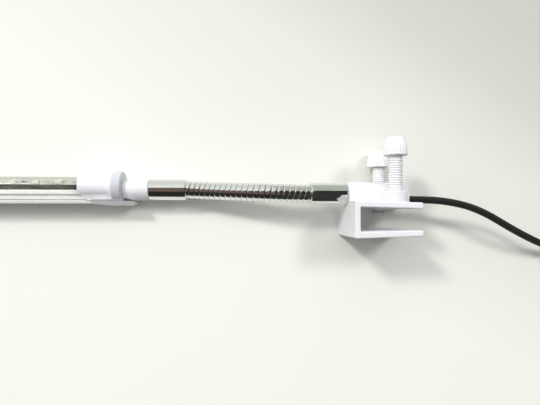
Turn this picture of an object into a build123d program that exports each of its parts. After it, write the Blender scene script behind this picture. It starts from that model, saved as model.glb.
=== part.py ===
from build123d import *
import math
import os

# Clip-on lamp lying on its side: clear light bar on a white rail, swivel neck, chrome gooseneck,
# two-screw C-clamp and a thin low-voltage lead wound up beside it.
# Working axes: +X from the light bar towards the clamp's mouth, +Y the way the
# thumbscrews stand, +Z up from the surface it lies on. Millimetres.
# Everything is written shifted so that the origin is the middle of the base.

OX, OY = -89.5, 10.0515            # middle of the lamp's outline, without its lead

# ---------------------------------------------------------------- clamp
CL_X0, CL_X1 = 47.1, 75.5      # back of the wall, tip of the arms
CL_W = 28.5                    # width of the clamp (Z)
WALL = 2.3                     # wall thickness
EDGE_R = 0.55                  # rounded edges of the moulding
HOUSE_X1 = 73.5                # front end of the tunnel housing
ARM_BOT0, ARM_BOT1 = -10.72, -9.92   # lower arm underside at the wall, at the tip
ARM_TOP0, ARM_TOP1 = -7.85, -7.42    # lower arm inner face
PL_BOT0, PL_BOT1 = 2.00, 1.28        # upper plate inner face
PL_TOP0, PL_TOP1 = 4.60, 3.84        # upper plate outer face
TUN_Z = 14.25                  # middle of the tunnel housing
TUN_R = 6.05                   # half-round top of the housing
TUN_CY = 6.87                  # centre height of that round
BOSS_TOP = 8.6
BOSS_R = 4.75
SCREW_R = 3.0                  # M6 x 1.0 thread, outside radius
SCREW_HOLE_R = 3.05
SCREW_F = (65.6, 23.5)         # front screw axis (X, Z)
SCREW_B = (64.8, 5.0)          # rear screw axis (X, Z)
KNOB_R, KNOB_H = 4.95, 7.4
KNOB_TOP_R, KNOB_STRAIGHT = 4.0, 3.1   # the head tapers above its straight lower part
KNOB_Y_F = 23.4                # underside of the front knob
KNOB_Y_B = 20.45               # underside of the rear knob
SCREW_LEN = 21.0               # under the head, with the pressure foot
FOOT_R, FOOT_H = 2.6, 1.3
FOOT_PIN_R, FOOT_PIN_H = 1.0, 3.2

# ---------------------------------------------------------------- gooseneck
FER_R = 4.7                    # chrome ferrules
NECK_AX_Y, NECK_AX_Z = 9.75, 6.7    # swivel axis
GOOSE_ARCH = 2.6                    # rise of the gooseneck's middle above a plain sweep
CFER_X0, CFER_X1 = 31.35, 47.1      # clamp-side ferrule
CAX_Y, CAX_Z = 7.9, 14.25           # its axis
HFER_X0, HFER_X1 = -37.9, -22.0     # head-side ferrule
N_JOINTS = 10
SLEEVE_R = 3.5
BALL_R = 2.4
BALL_GAP = 0.05
LIP = 0.7                      # socket wraps this far past the ball's centre
SHOULDER = 2.1                 # sleeve starts this far from its own ball
STEM_R = 1.6
BORE_R = 1.1                   # wire way through the links
STUB_IN_CLAMP = 57.0
STUB_IN_NECK = -43.0

# ---------------------------------------------------------------- head
HX_Z = 6.7                     # middle of the bar above the surface
TUBE_CY, TUBE_R = 10.95, 4.05  # round part of the clear bar
TUBE_WALL = 0.6
FOOT_Y0, FOOT_Y1 = 3.45, 4.92  # flat foot of the clear bar
FOOT_HW, WEB_HW = 3.9, 1.4
TUBE_X0, TUBE_X1 = -248.0, -61.2
FOOT_X1 = -60.5                  # front end of the rail's foot
CAP_CY, CAP_R = 10.85, 4.62
CAP_X0 = -68.2
COLLAR_X0, COLLAR_X1 = -53.0, -48.85
COLLAR_R = 6.7
NECK_X0, NECK_X1 = -48.6, -37.9
NECK_R = 4.7
STEM2_R, STEM2_X0 = 2.0, -57.9
POCKET_R = 2.96
SWIVEL_GAP = 0.06
FAR_X0, FAR_X1 = -254.5, -242.0
RAIL_Y1 = 9.5                  # top of the rail's web, just under the heat spreader
BOARD_Y0, BOARD_Y1 = 11.72, 14.05
BOARD_X0, BOARD_X1 = -240.5, -62.6
SPREAD_Y0, SPREAD_Y1 = 9.55, 11.66
N_LEDS = 19

BASE_Y0, BASE_Y1, BASE_HW = 2.78, 4.62, 4.4      # flat base under cap and collar

# ---------------------------------------------------------------- lead
CORD_R = 1.6
CORD_Y = 5.52
COIL_C = (181.0, 4.0)
COIL_R_MID = 19.0
COIL_PITCH = 3.2
# route of the lead from its crimp in the housing to the coil
ROUTE = [
    (61.2, 5.52, 14.25),
    (77.0, 5.52, 14.25),
    (92.2, 5.02, 14.10),
    (108.0, 1.35, 13.45),
    (127.5, -9.45, 11.75),
    (145.0, -16.5, 8.2),
    (159.5, -18.5, 3.1),
    (172.6, -18.25, 1.62),
]
TAIL = [
    (189.5, -18.2, 8.0),
    (195.6, -18.0, 6.5),
    (201.0, -18.3, 4.1),
    (206.0, -18.3, 4.1),
]
PLUG_X0 = 206.0

os.makedirs("parts", exist_ok=True)
nodes = {}


def box(x0, x1, y0, y1, z0, z1):
    return Pos((x0 + x1) / 2, (y0 + y1) / 2, (z0 + z1) / 2) * Box(x1 - x0, y1 - y0, z1 - z0)


def cyl_x(r, x0, x1, y, z):
    return Pos((x0 + x1) / 2, y, z) * Rot(0, 90, 0) * Cylinder(r, x1 - x0)


def cyl_y(r, y0, y1, x, z):
    return Pos(x, (y0 + y1) / 2, z) * Rot(90, 0, 0) * Cylinder(r, y1 - y0)


def cyl_z(r, z0, z1, x, y):
    return Pos(x, y, (z0 + z1) / 2) * Cylinder(r, z1 - z0)


def prism_z(points, z0, z1):
    face = make_face(Polyline(*[(x, y) for x, y in points], close=True))
    return Pos(0, 0, z0) * extrude(face, amount=z1 - z0)


def prism_x(points, x0, x1):
    """points are (y, z), extruded from x0 to x1."""
    plane = Plane(origin=(x0, 0, 0), x_dir=(0, 1, 0), z_dir=(1, 0, 0))
    face = make_face(Polyline(*[(y, z) for y, z in points], close=True))
    return extrude(plane * face, amount=x1 - x0)


def near(shape, test):
    return [e for e in shape.edges() if test(e)]


def try_round(shape, edges, r):
    """Round the edges, or leave them when they will not take the radius."""
    try:
        out = fillet(edges, r)
        if out.is_valid and out.volume > 0:
            return out
    except Exception as err:
        print("left sharp:", err)
    return shape


# ================================================================ clamp frame
def plate_top(x):
    t = (x - CL_X0) / (CL_X1 - CL_X0)
    return PL_TOP0 + (PL_TOP1 - PL_TOP0) * t


wx = CL_X0 + WALL
profile = [
    (CL_X0, ARM_BOT0),
    (CL_X1, ARM_BOT1),
    (CL_X1, ARM_TOP1),
    (wx, ARM_TOP0),
    (wx, PL_BOT0),
    (CL_X1, PL_BOT1),
    (CL_X1, PL_TOP1),
    (CL_X0, PL_TOP0),
]
face = make_face(Polyline(*profile, close=True))


def vertex_near(sketch, x, y):
    return min(sketch.vertices(), key=lambda v: (v.X - x) ** 2 + (v.Y - y) ** 2)


face = fillet(vertex_near(face, CL_X1, ARM_BOT1), 1.15)
face = fillet(vertex_near(face, CL_X1, ARM_TOP1), 0.95)
face = fillet(vertex_near(face, CL_X1, PL_BOT1), 1.0)
face = fillet(vertex_near(face, CL_X1, PL_TOP1), 1.0)
face = fillet(vertex_near(face, CL_X0, ARM_BOT0), 0.8)
face = fillet(vertex_near(face, wx, ARM_TOP0), 0.4)
face = fillet(vertex_near(face, wx, PL_BOT0), 0.4)
frame = extrude(face, amount=CL_W)
frame = try_round(frame, near(frame, lambda c: abs(c.center().Z) < 1e-6 or abs(c.center().Z - CL_W) < 1e-6), EDGE_R)
# the rear top corner of the wall is rounded off
corner = prism_x(
    [(-9.0, -1.0), (-7.0, 0.0), (-4.6, 0.7), (-2.2, 2.2), (0.0, 5.0), (2.0, 9.0), (3.2, 11.2), (7.0, 11.4), (7.0, -1.0)],
    CL_X0 - 1.0,
    CL_X0 + 12.0,
)
wedge = Pos(0, -10, 0) * extrude(
    Plane(origin=(0, 0, 0), x_dir=(1, 0, 0), z_dir=(0, 1, 0))
    * make_face(Polyline((CL_X0 - 1, 1.0), (CL_X0 + 10.0, 1.0), (CL_X0 + 6.5, -3.2), (CL_X0 - 1, -11.6), close=True)),
    amount=18,
)
frame = frame - (corner & wedge)
# tunnel housing with a half-round top
housing = box(CL_X0, HOUSE_X1, 2.6, TUN_CY, TUN_Z - TUN_R, TUN_Z + TUN_R) + (
    cyl_x(TUN_R, CL_X0, HOUSE_X1, TUN_CY, TUN_Z) & box(CL_X0 - 1, CL_X1 + 1, 2.6, 14, 0, CL_W)
)
housing = try_round(housing, near(housing, lambda c: c.center().Y > 2.7 and abs(c.center().X - HOUSE_X1) < 0.01), 1.6)
frame = frame + housing
for (sx, sz), edge in ((SCREW_F, CL_W), (SCREW_B, 0.0)):
    boss = cyl_y(BOSS_R, 2.4, BOSS_TOP, sx, sz)
    boss = try_round(boss, near(boss, lambda c: c.geom_type == GeomType.CIRCLE and c.center().Y > BOSS_TOP - 0.1), 0.4)
    frame = frame + boss
    web = box(sx - BOSS_R, sx + BOSS_R, 2.6, BOSS_TOP, min(sz, TUN_Z), max(sz, TUN_Z))
    frame = frame + web
# keep inside the clamp's own width
frame = frame & box(CL_X0 - 1, CL_X1 + 1, -12, 14, 0, CL_W)
# ways through
frame = frame - cyl_x(SLEEVE_R, CL_X0 - 1, 64.0, CAX_Y, CAX_Z)
frame = frame - cyl_x(CORD_R + 0.06, 60.0, HOUSE_X1 + 1, CORD_Y, TUN_Z)
frame = frame - cyl_x(2.62, 60.4, 64.0, CORD_Y, TUN_Z)
frame = frame - (cyl_x(2.3, HOUSE_X1 - 3.0, HOUSE_X1 + 1, CORD_Y, TUN_Z) & box(60, CL_X1 + 2, PL_TOP0, 12, 0, CL_W))
for sx, sz in (SCREW_F, SCREW_B):
    frame = frame - cyl_y(SCREW_HOLE_R, -0.5, 12, sx, sz)
nodes["clamp_frame"] = frame

nodes["clamp_ferrule"] = cyl_x(FER_R, CFER_X0, CFER_X1, CAX_Y, CAX_Z) - cyl_x(
    SLEEVE_R, CFER_X0 - 1, CFER_X1 + 1, CAX_Y, CAX_Z
)
e = [c for c in nodes["clamp_ferrule"].edges().filter_by(GeomType.CIRCLE) if abs(c.radius - FER_R) < 1e-6]
nodes["clamp_ferrule"] = try_round(nodes["clamp_ferrule"], e, 0.35)

# crimp and grommet that hold the lead in the housing
nodes["cord_crimp"] = cyl_x(2.58, 61.2, 63.6, CORD_Y, TUN_Z) - cyl_x(CORD_R, 60, 65, CORD_Y, TUN_Z)
nodes["cord_grommet"] = (
    cyl_x(2.3, HOUSE_X1 - 3.0, HOUSE_X1 + 0.25, CORD_Y, TUN_Z) & box(60, CL_X1 + 2, PL_TOP0, 12, 0, CL_W)
) - cyl_x(CORD_R, CL_X1 - 6, CL_X1 + 2, CORD_Y, TUN_Z)

# ================================================================ thumbscrews
for tag, (sx, sz), ky in (("front", SCREW_F, KNOB_Y_F), ("rear", SCREW_B, KNOB_Y_B)):
    tip = ky - SCREW_LEN
    foot = cyl_y(FOOT_R, tip, tip + FOOT_H, sx, sz)
    foot = try_round(foot, foot.edges().filter_by(GeomType.CIRCLE), 0.3)
    foot = foot + cyl_y(FOOT_PIN_R, tip + FOOT_H - 0.2, tip + FOOT_H + FOOT_PIN_H, sx, sz)
    nodes[f"foot_{tag}"] = foot
    s0 = tip + FOOT_H + 0.08
    shaft = cyl_y(SCREW_R, s0, ky + 5.0, sx, sz)
    shaft = shaft - cyl_y(FOOT_PIN_R + 0.05, s0 - 1, s0 + FOOT_PIN_H + 0.1, sx, sz)
    ends = [c for c in shaft.edges().filter_by(GeomType.CIRCLE) if abs(c.radius - SCREW_R) < 1e-6]
    shaft = chamfer(ends, 0.35)
    nodes[f"screw_{tag}"] = shaft
    knob = cyl_y(KNOB_R, ky, ky + KNOB_STRAIGHT, sx, sz) + Pos(sx, ky + (KNOB_STRAIGHT + KNOB_H) / 2, sz) * Rot(-90, 0, 0) * Cone(
        KNOB_R, KNOB_TOP_R, KNOB_H - KNOB_STRAIGHT
    )
    top = [c for c in knob.edges().filter_by(GeomType.CIRCLE) if c.center().Y > ky + KNOB_H - 0.01]
    bot = [c for c in knob.edges().filter_by(GeomType.CIRCLE) if c.center().Y < ky + 0.01]
    knob = chamfer(top, 0.4)
    bot = [c for c in knob.edges().filter_by(GeomType.CIRCLE) if c.center().Y < ky + 0.01]
    knob = chamfer(bot, 0.3)
    knob = knob - cyl_y(SCREW_R, ky - 1, ky + 4.65, sx, sz) - (
        cyl_y(SCREW_R - 0.35, ky + 4.6, ky + 5.0, sx, sz)
    )
    seat = shaft & knob
    knob = knob - shaft
    nodes[f"knob_{tag}"] = knob


# ================================================================ gooseneck
def path(u):
    """u runs from 0 at the clamp ferrule to 1 at the head ferrule."""
    x = CFER_X0 + (HFER_X1 - CFER_X0) * u
    v = 1 - u                      # from the head end
    h00 = 2 * v**3 - 3 * v**2 + 1
    h10 = v**3 - 2 * v**2 + v
    h01 = -2 * v**3 + 3 * v**2
    span = CFER_X0 - HFER_X1
    y = NECK_AX_Y * h00 + span * (-0.045) * h10 + CAX_Y * h01
    z = NECK_AX_Z * h00 + CAX_Z * h01 + GOOSE_ARCH * v**3 * (1 - v) ** 2 / 0.03456
    return Vector(x, y, z)


joints = []
for k in range(N_JOINTS):
    p = path((k + 0.5) / N_JOINTS)
    if k == 0:
        p = Vector(p.X, CAX_Y, CAX_Z)
    if k == N_JOINTS - 1:
        p = Vector(p.X, NECK_AX_Y, NECK_AX_Z)
    joints.append(p)


def in_frame_of(a, b, solid):
    """Put a solid built along local +X from the origin at a, pointing to b."""
    d = (b - a).normalized()
    side = d.cross(Vector(0, 0, 1)).normalized()
    up = side.cross(d).normalized()
    return Plane(origin=a, x_dir=d, z_dir=up).location * solid


for k in range(N_JOINTS - 1):
    a, b = joints[k], joints[k + 1]
    p = (b - a).length
    link = Sphere(BALL_R) + cyl_x(STEM_R, 0, SHOULDER + 0.5, 0, 0) + cyl_x(SLEEVE_R, SHOULDER, p + LIP, 0, 0)
    link = link - Pos(p, 0, 0) * Sphere(BALL_R + BALL_GAP) - cyl_x(BORE_R, -4, p + 4, 0, 0)
    nodes[f"gooseneck_link_{k + 1:02d}"] = in_frame_of(a, b, link)

j1, j10 = joints[0], joints[-1]
stub = cyl_x(SLEEVE_R, j1.X - LIP, STUB_IN_CLAMP, CAX_Y, CAX_Z)
stub = stub - Pos(j1.X, CAX_Y, CAX_Z) * Sphere(BALL_R + BALL_GAP) - cyl_x(BORE_R, j1.X - 4, STUB_IN_CLAMP + 1, CAX_Y, CAX_Z)
nodes["clamp_stub"] = stub
stub_len = j10.X - STUB_IN_NECK
stub = Sphere(BALL_R) + cyl_x(STEM_R, 0, SHOULDER + 0.5, 0, 0) + cyl_x(SLEEVE_R, SHOULDER, stub_len, 0, 0)
stub = stub - cyl_x(BORE_R, -4, stub_len + 1, 0, 0)
nodes["head_stub"] = in_frame_of(j10, Vector(STUB_IN_NECK, NECK_AX_Y, NECK_AX_Z), stub)

nodes["head_ferrule"] = cyl_x(FER_R, HFER_X0, HFER_X1, NECK_AX_Y, NECK_AX_Z) - cyl_x(
    SLEEVE_R, HFER_X0 - 1, HFER_X1 + 1, NECK_AX_Y, NECK_AX_Z
)
e = [c for c in nodes["head_ferrule"].edges().filter_by(GeomType.CIRCLE) if abs(c.radius - FER_R) < 1e-6]
nodes["head_ferrule"] = try_round(nodes["head_ferrule"], e, 0.35)

# ================================================================ neck and swivel
neck = cyl_x(NECK_R, NECK_X0, NECK_X1, NECK_AX_Y, NECK_AX_Z)
e = [c for c in neck.edges().filter_by(GeomType.CIRCLE)]
neck = try_round(neck, e, 0.4)
neck = neck + cyl_x(STEM2_R, STEM2_X0, NECK_X0 + 1, NECK_AX_Y, NECK_AX_Z)
neck = neck - cyl_x(SLEEVE_R, STUB_IN_NECK, NECK_X1 + 1, NECK_AX_Y, NECK_AX_Z)
neck = neck - cyl_x(BORE_R, STEM2_X0 - 1, STUB_IN_NECK + 1, NECK_AX_Y, NECK_AX_Z)
nodes["swivel_neck"] = neck
nodes["swivel_retainer"] = cyl_x(2.9, STEM2_X0, STEM2_X0 + 1.3, NECK_AX_Y, NECK_AX_Z) - cyl_x(
    STEM2_R, STEM2_X0 - 1, STEM2_X0 + 3, NECK_AX_Y, NECK_AX_Z
)
nodes["swivel_ring"] = cyl_x(POCKET_R, STEM2_X0 + 1.4, COLLAR_X0, NECK_AX_Y, NECK_AX_Z) - cyl_x(
    STEM2_R + SWIVEL_GAP, STEM2_X0, COLLAR_X0 + 1, NECK_AX_Y, NECK_AX_Z
)

# ================================================================ head
collar = cyl_x(COLLAR_R, COLLAR_X0, COLLAR_X1, CAP_CY, HX_Z)
e = [c for c in collar.edges().filter_by(GeomType.CIRCLE)]
collar = try_round(collar, e, 0.7)
collar = collar - cyl_x(STEM2_R + SWIVEL_GAP, COLLAR_X0 - 1, COLLAR_X1 + 1, NECK_AX_Y, NECK_AX_Z)
collar = collar - box(COLLAR_X0 - 1, COLLAR_X1 + 1, 0, 4.75, -2, 16)
nodes["head_collar"] = collar

# flat base under cap and collar, with a rounded tongue past the collar
base = prism_z(
    [(-60.3, BASE_Y1), (-60.3, 3.55), (-57.6, 3.05), (-53.4, BASE_Y0), (-44.9, BASE_Y0), (-43.9, 3.3), (-43.5, 4.0), (-44.0, 4.4), (-44.6, BASE_Y1)],
    HX_Z - BASE_HW,
    HX_Z + BASE_HW,
)
e = near(base, lambda c: c.geom_type == GeomType.LINE and abs(c.tangent_at(0.5).Z) > 0.99 and c.center().X > -45)
base = try_round(base, e, 0.3)
# its long sides slope in towards the underside
trough = prism_x(
    [
        (BASE_Y0 - 1.0, HX_Z - BASE_HW + 1.85 + 1.0),
        (BASE_Y1 - 0.05, HX_Z - BASE_HW),
        (BASE_Y1 + 1.0, HX_Z - BASE_HW),
        (BASE_Y1 + 1.0, HX_Z + BASE_HW),
        (BASE_Y1 - 0.05, HX_Z + BASE_HW),
        (BASE_Y0 - 1.0, HX_Z + BASE_HW - 1.85 - 1.0),
    ],
    -70.0,
    -40.0,
)
base = base & trough
# key that stands it off the cap by a narrow seam
base = base + box(-60.2, -53.4, BASE_Y1 - 0.3, 4.95, HX_Z - 1.0, HX_Z + 1.0)


def keyhole(x0, x1, cy, r, web_hw, y_low):
    return cyl_x(r, x0, x1, cy, HX_Z) + box(x0, x1, y_low, cy, HX_Z - web_hw, HX_Z + web_hw)


def cap_section(x0, x1):
    """Round body whose sides draw in to a narrow keel."""
    half = [(4.95, 1.85), (5.6, 1.95), (7.31, 2.97), (9.5, 2.97)]
    keel = prism_x([(y, HX_Z + z) for y, z in half] + [(y, HX_Z - z) for y, z in reversed(half)], x0, x1)
    return cyl_x(CAP_R, x0, x1, CAP_CY, HX_Z) + keel


# light bar: thin clear round shell, slotted along its underside, on a white
# rail whose web runs up into the shell and whose flat foot lies below it
def bar_section(x0, x1):
    return keyhole(x0, x1, TUBE_CY, TUBE_R, WEB_HW, FOOT_Y0 + 0.2) + box(
        x0, x1, FOOT_Y0, FOOT_Y1, HX_Z - FOOT_HW, HX_Z + FOOT_HW
    )


rail = box(TUBE_X0, FOOT_X1, FOOT_Y0, FOOT_Y1, HX_Z - FOOT_HW, HX_Z + FOOT_HW) + box(
    TUBE_X0, TUBE_X1, FOOT_Y1 - 0.5, RAIL_Y1, HX_Z - WEB_HW, HX_Z + WEB_HW
)
e = near(
    rail,
    lambda c: c.geom_type == GeomType.LINE
    and abs(c.tangent_at(0.5).X) > 0.99
    and c.center().Y < 5.2
    and abs(c.center().Z - HX_Z) > FOOT_HW - 0.1,
)
rail = try_round(rail, e, 0.35)
e = near(rail, lambda c: c.geom_type == GeomType.LINE and abs(c.tangent_at(0.5).X) > 0.99 and c.center().Y > RAIL_Y1 - 0.01)
rail = try_round(rail, e, 0.25)
bar = cyl_x(TUBE_R, TUBE_X0, TUBE_X1, TUBE_CY, HX_Z)
bar = bar - cyl_x(TUBE_R - TUBE_WALL, TUBE_X0 - 1, TUBE_X1 + 1, TUBE_CY, HX_Z)
bar = bar - box(TUBE_X0 - 1, TUBE_X1 + 1, TUBE_CY - TUBE_R - 1, TUBE_CY - 2.5, HX_Z - WEB_HW - 0.04, HX_Z + WEB_HW + 0.04)
# the top of the foot slopes away to a thin tip that ends against the base
rail = rail - prism_z([(-64.3, FOOT_Y1 + 0.001), (FOOT_X1 + 0.1, 4.2), (FOOT_X1 + 0.1, FOOT_Y1 + 0.001)], -2, HX_Z - WEB_HW)
rail = rail - prism_z([(-64.3, FOOT_Y1 + 0.001), (FOOT_X1 + 0.1, 4.2), (FOOT_X1 + 0.1, FOOT_Y1 + 0.001)], HX_Z + WEB_HW, 16)
rail = rail - box(TUBE_X1, FOOT_X1 + 1, 4.2, FOOT_Y1 + 1, -2, 16)
nodes["bar_rail"] = rail
nodes["light_bar"] = bar

# cap shell: takes the bar's end on the left, carries the collar on the right
cap = cap_section(CAP_X0, COLLAR_X0)
# flare into the collar
flare = Plane(origin=(COLLAR_X0 - 3.0, CAP_CY, HX_Z), z_dir=(1, 0, 0)) * Circle(CAP_R - 0.01)
flare2 = Plane(origin=(COLLAR_X0 - 1.1, CAP_CY, HX_Z), z_dir=(1, 0, 0)) * Circle(CAP_R + 0.35)
flare3 = Plane(origin=(COLLAR_X0, CAP_CY, HX_Z), z_dir=(1, 0, 0)) * Circle(CAP_R + 1.25)
cone = loft([flare.face(), flare2.face(), flare3.face()])
cap = cap + cone
# scooped mouth: vertical above, swept back towards the foot
scoop = prism_z(
    [(-70, 12.4), (-68.2, 12.4), (-67.9, 11.3), (-67.4, 10.1), (-66.8, 8.8), (-66.1, 7.6), (-65.3, 6.6), (-64.4, 5.8), (-63.4, 5.25), (-62.4, 4.95), (-62.4, 2), (-70, 2)],
    -2,
    16,
)
cap = cap - scoop
for s in (1, -1):
    v = [(CAP_X0 - 1.0, HX_Z + s * 1.2), (CAP_X0, HX_Z + s * 1.2), (CAP_X0 + 1.9, HX_Z + s * 6.5), (CAP_X0 - 1.0, HX_Z + s * 6.5)]
    slant = Pos(0, 2, 0) * extrude(
        Plane(origin=(0, 0, 0), x_dir=(1, 0, 0), z_dir=(0, 1, 0))
        * make_face(Polyline(*[(x, -z) for x, z in v], close=True)),
        amount=18,
    )
    cap = cap - slant
bar_room = keyhole(CAP_X0 - 2, TUBE_X1, TUBE_CY, TUBE_R + 0.02, WEB_HW + 0.02, 2.0)
cap = cap - bar_room
cap = cap - cyl_x(POCKET_R, TUBE_X1 - 0.5, COLLAR_X0 + 1, NECK_AX_Y, NECK_AX_Z)
nodes["cap_shell"] = cap

nodes["head_base"] = base

# light source inside the bar
nodes["led_board"] = box(BOARD_X0, BOARD_X1, BOARD_Y0, BOARD_Y1, HX_Z - 0.9, HX_Z + 0.1)
nodes["heat_spreader"] = box(BOARD_X0 + 0.5, BOARD_X1 - 0.5, SPREAD_Y0, SPREAD_Y1, HX_Z - 2.0, HX_Z + 0.9) + box(
    BOARD_X0 + 0.5, BOARD_X1 - 0.5, SPREAD_Y0, BOARD_Y0 + 1.3, HX_Z - 2.0, HX_Z - 0.9
)
leds = []
pitch = (BOARD_X1 - BOARD_X0 - 8) / (N_LEDS - 1)
for i in range(N_LEDS):
    cx = BOARD_X0 + 4 + i * pitch
    leds.append(box(cx - 1.5, cx + 1.5, 12.2, 13.6, HX_Z + 0.1, HX_Z + 0.8))
nodes["led_chips"] = Compound(children=[s for s in leds])
res = []
for i in range(0, N_LEDS - 1, 3):
    cx = BOARD_X0 + 4 + (i + 0.5) * pitch
    res.append(box(cx - 1.0, cx + 1.0, 12.35, 13.45, HX_Z + 0.1, HX_Z + 0.6))
nodes["led_resistors"] = Compound(children=[s for s in res])


def rod(a, b, r):
    a, b = Vector(*a), Vector(*b)
    d = b - a
    return Plane(origin=a, z_dir=d.normalized()).location * (Pos(0, 0, d.length / 2) * Cylinder(r, d.length))


nodes["lead_positive"] = rod((-62.3, 12.3, HX_Z + 0.6), (-58.2, 9.95, HX_Z + 0.5), 0.38)
nodes["lead_negative"] = rod((-62.3, 12.3, HX_Z - 0.6), (-58.2, 9.95, HX_Z - 0.5), 0.38)

# far end cap, with a disc as high as the collar so that the bar lies level
far = cap_section(FAR_X0 + 1.5, FAR_X1)
disc = cyl_x(COLLAR_R, FAR_X0, FAR_X0 + 3.0, CAP_CY, HX_Z)
disc = try_round(disc, disc.edges().filter_by(GeomType.CIRCLE), 0.7)
disc = disc - box(FAR_X0 - 1, FAR_X0 + 5, 0, 3.4, -2, 16)
far = far + disc
far = far - bar_section(TUBE_X0, FAR_X1 + 2)
nodes["far_cap"] = far


# ================================================================ lead
def tube_along(points, r, name):
    pts = [Vector(*p) for p in points]
    radii = []
    for a, b, c in zip(pts, pts[1:], pts[2:]):
        l1, l2 = (b - a).length, (c - b).length
        turn = math.radians((b - a).get_angle(c - b))
        radii.append(0.45 * min(l1, l2) / math.tan(turn / 2))
    print(name, "runs", [round((b - a).length, 1) for a, b in zip(pts, pts[1:])], "radii", [round(x, 1) for x in radii])
    wire = FilletPolyline(*[tuple(p) for p in points], radius=radii)
    start = Plane(origin=wire @ 0, z_dir=wire % 0)
    tube = sweep(start * Circle(r), path=wire)
    print(name, "volume", round(tube.volume, 1), "section x length", round(math.pi * r * r * wire.length, 1), "length", round(wire.length, 1))
    return tube


nodes["cord_lead"] = tube_along(ROUTE, CORD_R, "cord_lead")
nodes["cord_tail"] = tube_along(TAIL, CORD_R, "cord_tail")
half = 1.5 * COIL_PITCH
ring = cyl_z(COIL_R_MID + half, 0, 3 * COIL_PITCH, *COIL_C) - cyl_z(COIL_R_MID - half, -1, 3 * COIL_PITCH + 1, *COIL_C)
ring = try_round(ring, ring.edges().filter_by(GeomType.CIRCLE), 1.2)
nodes["cord_coil"] = ring

# plug: overmoulded grip, metal shell and contact tongue
px = PLUG_X0
grip = box(px, px + 21, -18.3 - 7.6, -18.3 + 7.6, 0.0, 8.2)
e = near(grip, lambda c: abs(c.tangent_at(0.5).X) > 0.99)
grip = try_round(grip, e, 2.2)
e = near(grip, lambda c: c.center().X < px + 0.01)
grip = try_round(grip, e, 1.4)
shell_out = box(px + 21, px + 33.5, -18.3 - 6.0, -18.3 + 6.0, 4.1 - 2.25, 4.1 + 2.25)
shell_in = box(px + 22.0, px + 34, -18.3 - 5.65, -18.3 + 5.65, 4.1 - 1.9, 4.1 + 1.9)
nodes["plug_grip"] = grip - cyl_x(CORD_R, px - 1, px + 0.5, -18.3, 4.1)
nodes["plug_shell"] = shell_out - shell_in
nodes["plug_tongue"] = box(px + 22.0, px + 32.6, -18.3 - 5.6, -18.3 + 5.6, 4.1 - 1.8, 4.1 + 0.1)
contacts = [box(px + 24.0, px + 31.6, -18.3 + d - 0.5, -18.3 + d + 0.5, 4.1 + 0.1, 4.1 + 0.35) for d in (-3.5, -1.0, 1.0, 3.5)]
nodes["plug_contacts"] = Compound(children=contacts)

# ================================================================ write
CORD_NODES = ["cord_lead", "cord_tail", "cord_coil", "plug_grip", "plug_shell", "plug_tongue", "plug_contacts"]
lo, hi = [1e9] * 3, [-1e9] * 3
for name, shape in nodes.items():
    moved = Pos(-OX, -OY, 0) * shape
    export_step(moved, f"parts/{name}.step")
    if name not in CORD_NODES:
        b = moved.bounding_box()
        lo = [min(a, c) for a, c in zip(lo, (b.min.X, b.min.Y, b.min.Z))]
        hi = [max(a, c) for a, c in zip(hi, (b.max.X, b.max.Y, b.max.Z))]
print("lamp box", [round(v, 3) for v in lo], [round(v, 3) for v in hi])
print("joint centres", [tuple(round(c, 4) for c in (p.X - OX, p.Y - OY, p.Z)) for p in joints])
print(len(nodes), "nodes")
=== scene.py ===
import math

import bmesh
import bpy
from mathutils import Matrix, Vector


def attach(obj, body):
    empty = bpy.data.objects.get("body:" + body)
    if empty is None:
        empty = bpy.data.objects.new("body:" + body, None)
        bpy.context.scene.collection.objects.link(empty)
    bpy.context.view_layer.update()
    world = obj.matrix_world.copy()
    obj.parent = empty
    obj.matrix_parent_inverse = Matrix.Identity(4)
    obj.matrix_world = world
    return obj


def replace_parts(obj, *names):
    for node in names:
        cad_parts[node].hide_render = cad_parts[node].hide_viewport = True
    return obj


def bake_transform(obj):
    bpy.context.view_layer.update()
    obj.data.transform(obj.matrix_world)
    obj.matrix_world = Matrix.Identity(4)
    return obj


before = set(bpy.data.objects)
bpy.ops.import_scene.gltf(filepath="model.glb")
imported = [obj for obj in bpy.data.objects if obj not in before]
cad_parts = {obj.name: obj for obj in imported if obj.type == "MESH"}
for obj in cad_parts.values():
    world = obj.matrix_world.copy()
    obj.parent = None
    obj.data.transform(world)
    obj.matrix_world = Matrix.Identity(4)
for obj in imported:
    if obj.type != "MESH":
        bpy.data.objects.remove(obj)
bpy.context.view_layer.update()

# The working dimensions below are in millimetres, in the axes that the part's
# source uses; row() shifts them to the frame, in metres.
OX, OY = -89.5, 10.0515


def row(x, y, z):
    return Vector(((x - OX) * 0.001, (y - OY) * 0.001, z * 0.001))


scene = bpy.context.scene
scene.view_settings.view_transform = "Standard"
scene.view_settings.look = "None"
scene.view_settings.exposure = 0.0
scene.view_settings.gamma = 1.0


def link(obj):
    scene.collection.objects.link(obj)
    return obj


# ------------------------------------------------------------------ camera
cam_data = bpy.data.cameras.new("camera")
cam_data.lens = 27.2
cam_data.sensor_width = 36.0
cam_data.clip_start = 0.005
cam_data.clip_end = 60.0
cam = link(bpy.data.objects.new("camera", cam_data))
U = Vector((0.99674674, 0.0, 0.08059738))
V = Vector((-0.00187615, 0.99972903, 0.02320227))
W = Vector((0.08057554, 0.023278, -0.99647665))
at = row(0, 0, 188)
cam.matrix_world = Matrix(
    (
        (U.x, V.x, -W.x, at.x),
        (U.y, V.y, -W.y, at.y),
        (U.z, V.z, -W.z, at.z),
        (0, 0, 0, 1),
    )
)
scene.camera = cam


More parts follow.
